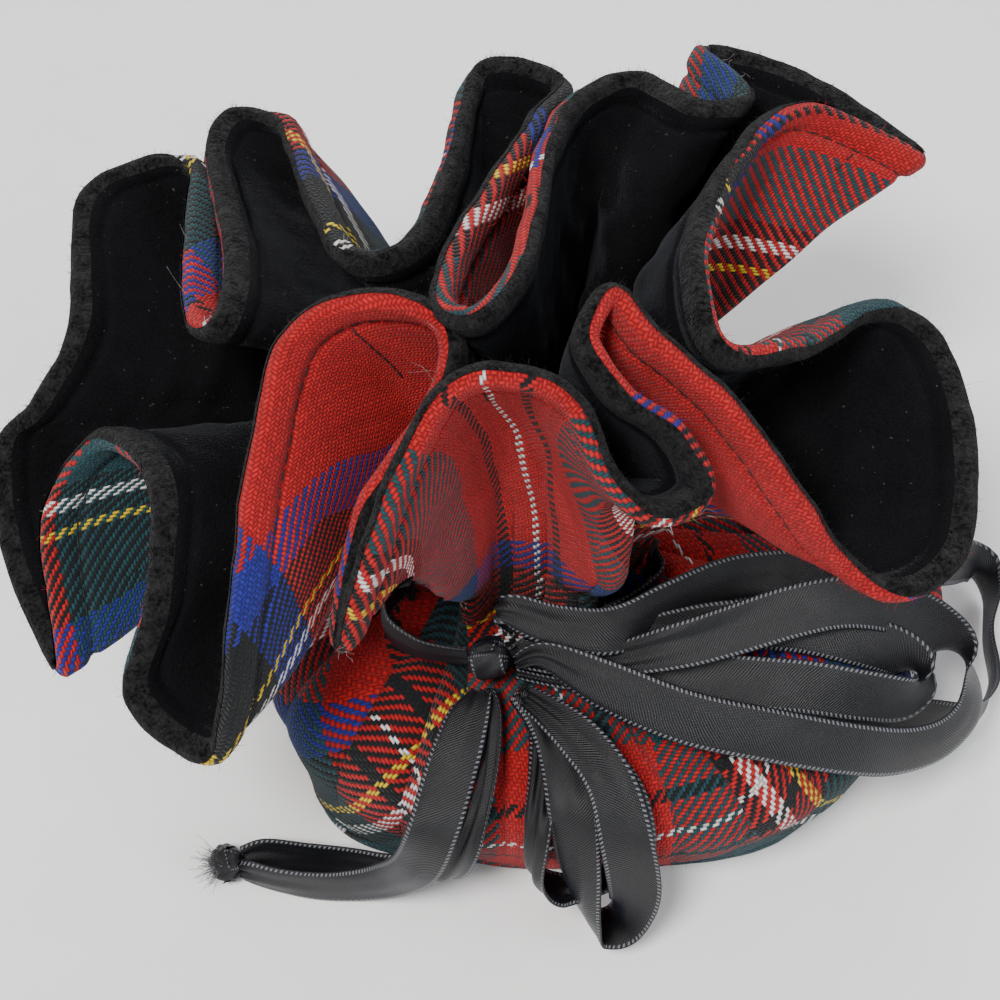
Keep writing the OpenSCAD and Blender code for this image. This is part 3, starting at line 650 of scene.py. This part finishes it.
def bead_rows(radius, reach, low, high, count=EDGE_ROWS):
    """Rows that carry a face round the rim, between two angles in degrees from the edge."""
    edge, n = collar[-1], normals[-1]
    onward = unit(collar[-1] - collar[-4])
    puff = (1 + 0.10 * wave(rim_far / 3.1, 0, 1.0))[:, None]
    return [edge + n * radius * puff * math.sin(t) + onward * reach * puff * math.cos(t)
            for t in np.linspace(math.radians(low), math.radians(high), count)]


# Rows of the body, as in the frame: [z, neck, belly, base, folds]
BODY_ROWS = [
    [48, 1, 0, 0, 1], [42, 1, 0, 0, 1], [36, 1, 0, 0, 1], [34.5, 0.7, 0.27, 0, 1],
    [35.5, 0.42, 0.55, 0, 0.8], [33, 0.14, 0.84, 0, 0.5], [25, 0, 1, 0, 0.2], [13, 0, 0.7, 0.3, 0],
    [4.5, 0, 0.3, 0.7, 0], [1.3, 0, 0, 0.97, 0], [1.3, 0, 0, 0.5, 0], [1.3, 0, 0, 0.02, 0]]


def box_radius(rx, ry, n):
    return ((abs(np.cos(angle)) / rx) ** n + (abs(np.sin(angle)) / ry) ** n) ** (-1 / n)


# the base's front left corner stands out: how far, at which angle, and over how many degrees
CORNER_OUT, CORNER_AT, CORNER_SPREAD = 7, 221, 16
corner = CORNER_OUT * np.exp(-(((rim[:, 3] % 360) - CORNER_AT) / CORNER_SPREAD) ** 2)
belly = box_radius(65, 57, 2.2) + 0.3 * corner
base = box_radius(52, 50, 3) + corner


def body_row(z, neck, at_belly, at_base, folds):
    reach = neck * NECK_R + at_belly * belly + at_base * base + FOLD_DEPTH * fold * folds
    height = z + (1 - neck) * 0.3 * FOLD_DEPTH * fold * folds
    return np.concatenate([NECK * neck + out[:, :2] * reach[:, None], height[:, None]], 1)


ROW_STEPS = 8           # rows of the grid to one step of BODY_ROWS
columns = np.array([body_row(*row) for row in BODY_ROWS])
body = open_spline(columns.reshape(len(BODY_ROWS), -1), ROW_STEPS).reshape(-1, N, 3)
body_steps = np.linalg.norm(np.diff(body, axis=0), axis=2)
body_far = np.concatenate([np.zeros((1, N)), np.cumsum(body_steps, axis=0)])
body_v = body_far / body_far[-1:]
body_normals = -grid_normals(body)
row_at = np.linspace(0, len(BODY_ROWS) - 1, len(body))[:, None]
crease_depth = np.interp(row_at, [0, 2, 3.2, 4.5, 6, 7, 8], [0.7, 0.9, 1.9, 2.0, 1.1, 0.4, 0])
slack = 0.6 * smoothstep(row_at, 3, 5) * (1 - smoothstep(row_at, 8.2, 9))
slack = slack * wave(angle * 7, row_at * 1.3, 2.1)
body = body + body_normals * (crease_depth * crease + np.minimum(slack, 0.3))[:, :, None]
body_normals = -grid_normals(body)
body_normals[-14:] = [0, 0, -1]

# where the cloth lies on its flat disc, for each column's left side and for its right side
body_rho = NECK_RHO * (1 - body_v)
collar_rho = NECK_RHO + vs * COLLAR_LEN
steps_along = np.linalg.norm(np.diff(collar, axis=1, append=collar[:, :1]), axis=2)
collar_far = np.concatenate([np.zeros((len(vs), 1)), np.cumsum(steps_along, axis=1)], 1)
lapped_far = np.concatenate([collar_far, collar_far[:, 1:] + collar_far[:, -1:]], 1)
far_mid = (lapped_far[:, border_at] + lapped_far[:, np.append(border_at[1:], border_at[0] + N)]) / 2
far_mid = far_mid[:, panel] - collar_far[:, -1:] * panel_wraps
angle_mid, flat_mid = panel_middle(angle), panel_middle(flat_angle)


def flat_places(angle_here, flat_here, far_here):
    """Flat positions of the body's and collar's grid, for these angles and distances along its rows."""
    reach = np.linalg.norm(body[:, :, :2] - NECK * (1 - smoothstep(row_at, 2, 7))[:, :, None], axis=2)
    full = np.minimum(1, reach / np.maximum(body_rho, 1))
    full = full + (1 - full) * (1 - smoothstep(body_rho, 40, 60))
    turned = smoothstep(body_rho, 55, 114)
    body_phi = angle_mid * (1 - turned) + flat_mid * turned + (angle_here - angle_mid) * full
    rim_share = smoothstep(vs, 0.6, 0.92)[:, None]
    true_scale = (far_here - far_mid) / collar_rho[:, None]
    collar_phi = flat_mid + (flat_here - flat_mid) * rim_share + true_scale * (1 - rim_share)
    edge_rho = NECK_RHO + COLLAR_LEN + np.linspace(0.6, 2.6, EDGE_ROWS)
    rho = np.concatenate([body_rho[:0:-1], np.repeat(collar_rho[:, None], N, 1),
                          np.repeat(edge_rho[:, None], N, 1)])
    phi = np.concatenate([body_phi[:0:-1], collar_phi, np.repeat(collar_phi[-1:], EDGE_ROWS, 0)])
    return np.stack([rho * np.cos(phi), rho * np.sin(phi)], 2) / UV_UNIT


def surface(name, grid, uv_left=None, uv_right=None, flip=False):
    """A closed band of quads, with its first ring filled. No quad smears the pattern over a border."""
    m = len(grid)
    faces = []
    for j in range(m - 1):
        for i in range(N):
            k = (i + 1) % N
            quad = (j * N + i, j * N + k, (j + 1) * N + k, (j + 1) * N + i)
            faces.append(quad[::-1] if flip else quad)
    faces.append(tuple(range(N)) if flip else tuple(range(N))[::-1])
    obj = new_mesh(name, grid.reshape(-1, 3), faces)
    if uv_left is not None:
        corners = np.stack([uv_left[:-1], uv_right[:-1], uv_right[1:], uv_left[1:]], 2).reshape(-1, 2)
        layer = obj.data.uv_layers.new(name="UVMap")
        all_uvs = np.concatenate([corners, uv_left[0, ::-1]])
        layer.data.foreach_set("uv", all_uvs.astype(np.float32).ravel())
    return obj


HALFWAY = 0.46          # a little less than half, so that two faces never meet


def room(grid, towards, reach=6.0, step=0.3):
    """How far each point may stand off before it is halfway to the next layer of cloth, at most reach."""
    rows = len(grid)
    quads = [(j * N + i, j * N + (i + 1) % N, (j + 1) * N + (i + 1) % N, (j + 1) * N + i)
             for j in range(rows - 1) for i in range(N)]
    tree = BVHTree.FromPolygons(grid.reshape(-1, 3).tolist(), quads)
    free = np.full(rows * N, reach)
    starts = (grid + step * towards).reshape(-1, 3).tolist()
    for k, (start, direction) in enumerate(zip(starts, towards.reshape(-1, 3).tolist())):
        distance = tree.ray_cast(start, direction, reach)[3]
        if distance is not None:
            free[k] = HALFWAY * (distance + step)
    free = free.reshape(rows, N)
    for axis in (0, 1):
        free = np.minimum(free, np.minimum(np.roll(free, 1, axis), np.roll(free, -1, axis)))
    for axis in (0, 1):
        free = (np.roll(free, 1, axis) + free + np.roll(free, -1, axis)) / 3
    return free


whole = np.concatenate([body[:0:-1], collar])
whole_normals = np.concatenate([body_normals[:0:-1], normals])
neck_row = len(body) - 1
# the rim's own rows aren't held back, so that the hem keeps its puff
rim_is_free = 9 * smoothstep(vs, 0.90, 0.96)[:, None]
both_rooms = room(whole, whole_normals), room(whole, -whole_normals)
body_out, body_in = (free[neck_row::-1, :, None] for free in both_rooms)
collar_out, collar_in = ((free[neck_row:] + rim_is_free)[:, :, None] for free in both_rooms)

wool_off = np.minimum(face_profile(WOOL, 0.55, WOOL_BEAD)[:, None, None], collar_out)
wool_bead = np.array(bead_rows(WOOL_BEAD, 1.6, 72, -14))
wool_collar = np.concatenate([collar + normals * wool_off, wool_bead])
wool_body = body + body_normals * np.minimum(WOOL, body_out)
wool_body[:, :, 2] = np.maximum(wool_body[:, :, 2], 0.0)
wool_grid = np.concatenate([wool_body[:0:-1], wool_collar])
uv_left = flat_places(angle, flat_angle, collar_far[:, :-1])
uv_right = flat_places(next_column(angle, 2 * math.pi), next_column(flat_angle, 2 * math.pi),
                       collar_far[:, 1:])
tartan_cloth = surface("tartan_cloth", wool_grid, uv_left, uv_right)
finish(tartan_cloth, tartan_mat, "pouch", "tartan", "outer_body", "outer_collar")

velvet_off = face_profile(VELVET, 0.6, VELVET_BEAD)[:, None, None]
velvet_bead = np.array(bead_rows(VELVET_BEAD, 1.9, -78, -6))
# the lining has nowhere to spread inside the pouch, so it lies in soft rumples
x, y, z = np.moveaxis(body, 2, 0)
rumple = (np.sin(0.62 * x + 1.3 * np.sin(0.2 * y)) + np.sin(0.66 * y + 1.1 * np.sin(0.17 * x + 1))
          + np.sin(0.6 * z + 2))
rumple = 1.05 * (rumple + 2.2) * smoothstep(row_at, 4.2, 6)
inner_body = body - body_normals * np.minimum((VELVET + np.maximum(rumple, 0))[:, :, None], body_in)
inner_body[:, :, 2] = np.maximum(inner_body[:, :, 2], 1.6)
x, y, z = np.moveaxis(collar, 2, 0)
ruffle = 0.3 * (np.sin(0.8 * x + 2 * np.sin(0.3 * z)) + np.sin(0.75 * y + 1) + np.sin(0.7 * z + 0.5) + 1.5)
ruffle = np.maximum(ruffle, 0) * (smoothstep(vs, 0.02, 0.2) * (1 - smoothstep(vs, 0.7, 0.88)))[:, None]
inner_collar = collar - normals * np.minimum(ruffle[:, :, None] + velvet_off, collar_in)
velvet_grid = np.concatenate([inner_body[:0:-1], inner_collar, velvet_bead])
rows = len(velvet_grid)
velvet_lining = surface("velvet_lining", velvet_grid, flip=True)
velvet_lining.data.materials.append(velvet_mat)
velvet_lining.data.materials.append(edge_mat)
first_edge = (rows - len(velvet_bead) - 2) * N
velvet_lining.data.polygons.foreach_set("material_index", [
    int(p.vertices[0] >= first_edge and len(p.vertices) == 4) for p in velvet_lining.data.polygons])
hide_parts("lining_body", "lining_collar")
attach(velvet_lining, "pouch")


# ---------------------------------------------------------------- sewing

def stitches(name, line, outward, length, gap, radius, sink, material, slot, *replaced):
    """A row of separate stitches along a line on the cloth: small rods that dip in at both ends."""
    rings, sides = 7, 6
    far = np.concatenate([[0], np.cumsum(np.linalg.norm(np.diff(line, axis=0), axis=1))])
    count = int(far[-1] / (length + gap))
    verts, faces = [], []
    for s in range(count):
        centre_at = (s + 0.5) * far[-1] / count
        t = np.linspace(-0.5, 0.5, rings)
        at = centre_at + t * length
        p = np.stack([np.interp(at, far, line[:, a]) for a in range(3)], 1)
        n = unit(np.stack([np.interp(at, far, outward[:, a]) for a in range(3)], 1))
        p = p + n * (sink * (1 - (2 * t) ** 2))[:, None]
        along = unit(np.gradient(p, axis=0))
        side = unit(np.cross(along, n))
        r = radius * np.sqrt(np.clip(1 - (1.8 * t) ** 4, 0.15, 1))
        first = len(verts)
        for k in range(rings):
            for q in range(sides):
                a = 2 * math.pi * q / sides
                verts.append(p[k] + r[k] * (side[k] * math.cos(a) + n[k] * math.sin(a)))
        for k in range(rings - 1):
            here, there = first + k * sides, first + (k + 1) * sides
            faces += [(here + q, here + (q + 1) % sides, there + (q + 1) % sides, there + q)
                      for q in range(sides)]
        last = first + (rings - 1) * sides
        faces += [tuple(range(first + sides - 1, first - 1, -1)), tuple(range(last, last + sides))]
    obj = new_mesh(name, verts, faces)
    return finish(obj, material, "pouch", slot, *replaced)


stitch_row = int(np.argmin(abs(vs - stitch_v)))
stitch_line = (collar + normals * wool_off)[stitch_row]
loop = np.r_[np.arange(N), 0]
rim_stitches = stitches("rim_stitches", stitch_line[loop], normals[stitch_row][loop], 2.1, 0.7, 0.16,
                        0.06, stitch_mat, "thread", "rim_topstitch")
# each line's row of the body, and the row whose normals it takes
for place, row, facing in (("upper", 4, 8), ("lower", 15, 16)):
    stitches("casing_stitches_" + place, wool_body[row][loop], body_normals[facing][loop], 1.8, 0.8, 0.2,
             0.1, stitch_mat, "thread", "casing_stitch_" + place)

# The tacked places of RIM, as in the frame. A tack runs down from the topstitching to TACK_FROM.
TACKED, TACK_FROM = [17, 24, 47, 60], (0.7, 0.85, 0.85, 0.85)
for k, (p, low) in enumerate(zip(TACKED, TACK_FROM)):
    i = p * PER + PER // 2
    rows_in = np.flatnonzero((vs > low) & (vs <= stitch_v))
    line = (collar + normals * (wool_off + 0.15))[rows_in, i]
    stitches("hem_tack_%d" % k, line, normals[rows_in, i], 1.7, 0.2, 0.17, 0.06, stitch_mat,
                          "thread", *(["hem_tacks"] if k == 0 else []))


# ---------------------------------------------------------------- knots, frayed ends and fuzz

def merged(name, parts):
    """One mesh from (verts, faces, uv) parts."""
    verts, faces, uvs, base = [], [], [], 0
    for v, f, t in parts:
        verts.append(v)
        uvs.append(t)
        faces += [tuple(base + k for k in face) for face in f]
        base += len(v)
    return new_mesh(name, np.concatenate(verts), faces, np.concatenate(uvs))


def axes(axis):
    """A unit axis and two directions across it."""
    axis = unit(np.asarray(axis, float))
    side = unit(np.cross(axis, [0.31, 0.2, 0.93]))
    return axis, side, np.cross(axis, side)


def wrap(centre, axis, start, end, radius, drift, width, seed):
    """A creased turn of ribbon round a knot, about an axis. It drifts along the axis as it goes."""
    n = 40
    axis, side, other = axes(axis)
    t = np.radians(np.linspace(start, end, n))[:, None]
    places = np.linspace(-1, 1, 9)
    along = np.linspace(-0.5, 0.5, n)
    out_dir = side * np.cos(t) + other * np.sin(t)
    verts, uv = [], []
    for p in places:
        wrinkle = 0.22 * np.sin(2.6 * p + 5 * t[:, 0] + seed) + 0.12 * np.sin(7 * p - 3 * t[:, 0] + seed)
        r = radius - 0.55 * p * p + wrinkle
        at = (along * drift + p * width / 2)[:, None]
        verts.append(np.asarray(centre) + out_dir * r[:, None] + axis * at)
        uv.append(np.stack([t[:, 0] * radius, np.full(n, p)], 1))
    faces = [(k * n + i, k * n + i + 1, (k + 1) * n + i + 1, (k + 1) * n + i)
             for k in range(len(places) - 1) for i in range(n - 1)]
    return np.concatenate(verts), faces, np.concatenate(uv)


def bundle(centre, axis, length, radius, ribs, seed):
    """The folded ribbon inside a knot: a twisted, ribbed bundle with rounded ends."""
    axis, side, other = axes(axis)
    n, m = 15, 48
    a = np.linspace(0, 2 * math.pi, m, endpoint=False)
    verts, uv = [], []
    for s in np.linspace(-1, 1, n):
        r = radius * math.sqrt(max(1 - abs(s) ** 3, 0.02))
        r = r * (1 + 0.11 * np.sin(ribs * a + 1.6 * s + seed) + 0.05 * np.sin(2 * ribs * a - 2 * s))
        verts.append(np.asarray(centre) + axis * s * length / 2
                     + r[:, None] * (side * np.cos(a)[:, None] + other * np.sin(a)[:, None]))
        uv.append(np.stack([np.full(m, s * length), np.sin(a * 2)], 1))
    faces = [(j * m + i, j * m + (i + 1) % m, (j + 1) * m + (i + 1) % m, (j + 1) * m + i)
             for j in range(n - 1) for i in range(m)]
    faces += [tuple(range(m - 1, -1, -1)), tuple((n - 1) * m + i for i in range(m))]
    return np.concatenate(verts), faces, np.concatenate(uv)


def strands(paths, radius):
    """Thin three-sided tubes along paths, tapered to their tips."""
    parts = []
    for path in paths:
        path = np.asarray(path, float)
        n = len(path)
        along = unit(np.gradient(path, axis=0))
        side = unit(np.cross(along, [0.21, 0.35, 0.91]))
        other = np.cross(along, side)
        size = radius * np.linspace(1, 0.45, n)[:, None]
        ring = [path + size * (side * math.cos(q) + other * math.sin(q)) for q in (0, 2.094, 4.189)]
        verts = np.stack(ring, 1).reshape(-1, 3)
        faces = [(3 * i + q, 3 * i + (q + 1) % 3, 3 * i + 3 + (q + 1) % 3, 3 * i + 3 + q)
                 for i in range(n - 1) for q in range(3)]
        faces += [(2, 1, 0), (3 * n - 3, 3 * n - 2, 3 * n - 1)]
        parts.append((verts, faces, np.zeros((len(verts), 2))))
    return parts


KNOT = [-20, -29.5, 44]
knot = merged("wrapped_bow_knot", [
    bundle(KNOT, (1, 0, 0), 7.6, 3.1, 5, 0.4),
    wrap(KNOT, (1, 0.12, 0.1), -60, 250, 3.7, 0.9, 5.6, 0.3),
    wrap(KNOT, (0.9, -0.35, 0.25), 60, 330, 3.5, -0.8, 3.4, 1.9)])
finish(knot, satin_mat, "pouch", "ribbon", "bow_knot")

TAIL_END = [-69.5, -52.5, 4]
end_knot = merged("wrapped_tail_knot", [
    bundle(TAIL_END, (1, 0.25, 0), 6.6, 2.9, 4, 1.2),
    wrap(TAIL_END, (0.3, 1, 0.2), -40, 300, 3.5, 1.0, 3.4, 0.8),
    wrap(TAIL_END, (1, 0.2, 0.5), 20, 330, 3.6, 0.8, 3.2, 2.6)])
finish(end_knot, satin_mat, "left_tail", "ribbon", "tail_knot")

FRAYED_ENDS = 80
fray_rng = np.random.default_rng(5)
fray_paths = []
for k in range(FRAYED_ENDS):
    turn = math.radians(fray_rng.uniform(140, 245))
    lift_at = math.radians(fray_rng.uniform(-18, 38))
    going = np.array([math.cos(turn) * math.cos(lift_at), math.sin(turn) * math.cos(lift_at),
                      math.sin(lift_at)])
    bend = fray_rng.uniform(-0.7, 0.7, 3)
    reach = fray_rng.uniform(1.4, 4.2)
    t = np.linspace(0, 1, 7)[:, None]
    path = np.array(TAIL_END) + going * (2.6 + reach * t) + bend * reach * 0.5 * t * t
    path[:, 2] = np.maximum(path[:, 2], 0.25)
    fray_paths.append(path)
fray = merged("frayed_tail_threads", strands(fray_paths, 0.09))
finish(fray, fray_mat, "left_tail", "ribbon_thread", "tail_fray")


def fuzz(name, grid, surface_normals, uv, rows, count, length, radius, seed, material, slot):
    """Short loose fibres that stand off the cloth, coloured as the place that they grow from."""
    hair_rng = np.random.default_rng(seed)
    j = hair_rng.integers(rows[0], rows[1], count)
    i = hair_rng.integers(0, N, count)
    root, n = grid[j, i], surface_normals[j, i]
    paths = []
    for p, up in zip(root, n):
        lean = up + hair_rng.normal(0, 0.55, 3)
        lean = lean / np.linalg.norm(lean)
        curl = hair_rng.normal(0, 0.6, 3)
        reach = length * hair_rng.uniform(0.4, 1.3)
        t = np.linspace(0, 1, 4)[:, None]
        paths.append(p - 0.1 * up + lean * reach * t + curl * reach * 0.4 * t * t)
    parts = strands(paths, radius)
    if uv is not None:
        parts = [(v, f, np.repeat(uv[a, b][None], len(v), 0)) for (v, f, _), a, b in zip(parts, j, i)]
    return finish(merged(name, parts), material, "pouch", slot)


wool_normals = grid_normals(wool_grid)
velvet_normals = -grid_normals(velvet_grid)
all_rows, edge_from = len(wool_grid), len(wool_grid) - EDGE_ROWS
fuzz("wool_rim_fuzz", wool_grid, wool_normals, uv_left, (edge_from - 6, all_rows - 1), 2600, 1.1, 0.035,
     21, tartan_mat, "tartan")
fuzz("wool_face_fuzz", wool_grid, wool_normals, uv_left, (20, edge_from - 6), 3000, 0.8, 0.03, 22,
     tartan_mat, "tartan")
fuzz("velvet_rim_fuzz", velvet_grid, velvet_normals, None, (edge_from - 2, all_rows - 1), 4200, 1.0, 0.04,
     23, edge_mat, "velvet")

# loose threads at the hem: the place in RIM, how many, and how long
STRAYS = ((22, 9, 2.2), (19.6, 3, 4.5), (40.2, 3, 4.0), (73.5, 2, 4.0), (28.6, 2, 3.0), (50.4, 4, 2.6))
stray_rng = np.random.default_rng(31)
stray_paths = []
for place, count, reach in STRAYS:
    for k in range(count):
        i = int(place * PER + stray_rng.integers(-4, 5)) % N
        root, n = wool_grid[-4, i], wool_normals[-4, i]
        heading = unit(n + stray_rng.normal(0, 0.6, 3))
        curl = stray_rng.normal(0, 0.7, 3)
        t = np.linspace(0, 1, 12)[:, None]
        wiggle = 0.12 * reach * np.sin(t * 7 + k) * stray_rng.normal(0, 1, 3)
        stray_paths.append(root + heading * reach * t * 0.8 + curl * reach * 0.4 * t * t + wiggle * t)
finish(merged("stray_threads", strands(stray_paths, 0.045)), lint_mat, "pouch", "thread")


# ---------------------------------------------------------------- pieces kept from the frame

KEPT = {"eyelet_left": stitch_mat, "eyelet_right": stitch_mat, "casing_drawstring": satin_mat}
for name, material in KEPT.items():
    obj = nodes[name]
    if not obj.material_slots:
        obj.data.materials.append(material)
    for s in obj.material_slots:
        s.material = material

for key, end in CORDS.items():
    obj, centre, length = strips[key]


# ---------------------------------------------------------------- floor and light

floor_mesh = bpy.data.meshes.new("floor")
floor_mesh.from_pydata([(-2, -2, 0), (2, -2, 0), (2, 2, 0), (-2, 2, 0)], [], [(0, 1, 2, 3)])    # metres
floor = link(bpy.data.objects.new("floor", floor_mesh))
floor_graph = Graph("pale_floor")
grain = floor_graph.noise(floor_graph.object(), 60, 3)
floor_graph.color(floor_graph.ramp(grain, [(0.3, (0.90, 0.895, 0.885)), (0.7, (0.93, 0.925, 0.92))],
                                   "LINEAR"))
floor_graph.set(Roughness=0.8, Specular_IOR_Level=0.2)
floor_mesh.materials.append(floor_graph.material)


def area_light(name, place, at, size, power, color=(1, 1, 1)):
    data = bpy.data.lights.new(name, "AREA")
    data.shape = "DISK"
    data.size = size
    data.energy = power
    data.color = color
    obj = link(bpy.data.objects.new(name, data))
    obj.location = place
    obj.rotation_euler = (Vector(at) - Vector(place)).to_track_quat("-Z", "Y").to_euler()


area_light("key", (-0.3, -0.35, 0.95), (0, 0, 0.05), 0.32, 12.0, (1.0, 0.985, 0.96))
area_light("fill", (0.75, -0.35, 0.5), (0, 0, 0.05), 0.7, 4.0, (0.92, 0.96, 1.0))
area_light("back", (0.1, 0.8, 0.7), (0, 0, 0.06), 0.5, 4.0, (0.95, 0.97, 1.0))

world = bpy.data.worlds.new("soft_room")
scene.world = world
world.use_nodes = True
sky = world.node_tree.nodes["Background"]
sky.inputs["Color"].default_value = (0.95, 0.97, 1.0, 1)
sky.inputs["Strength"].default_value = 0.5
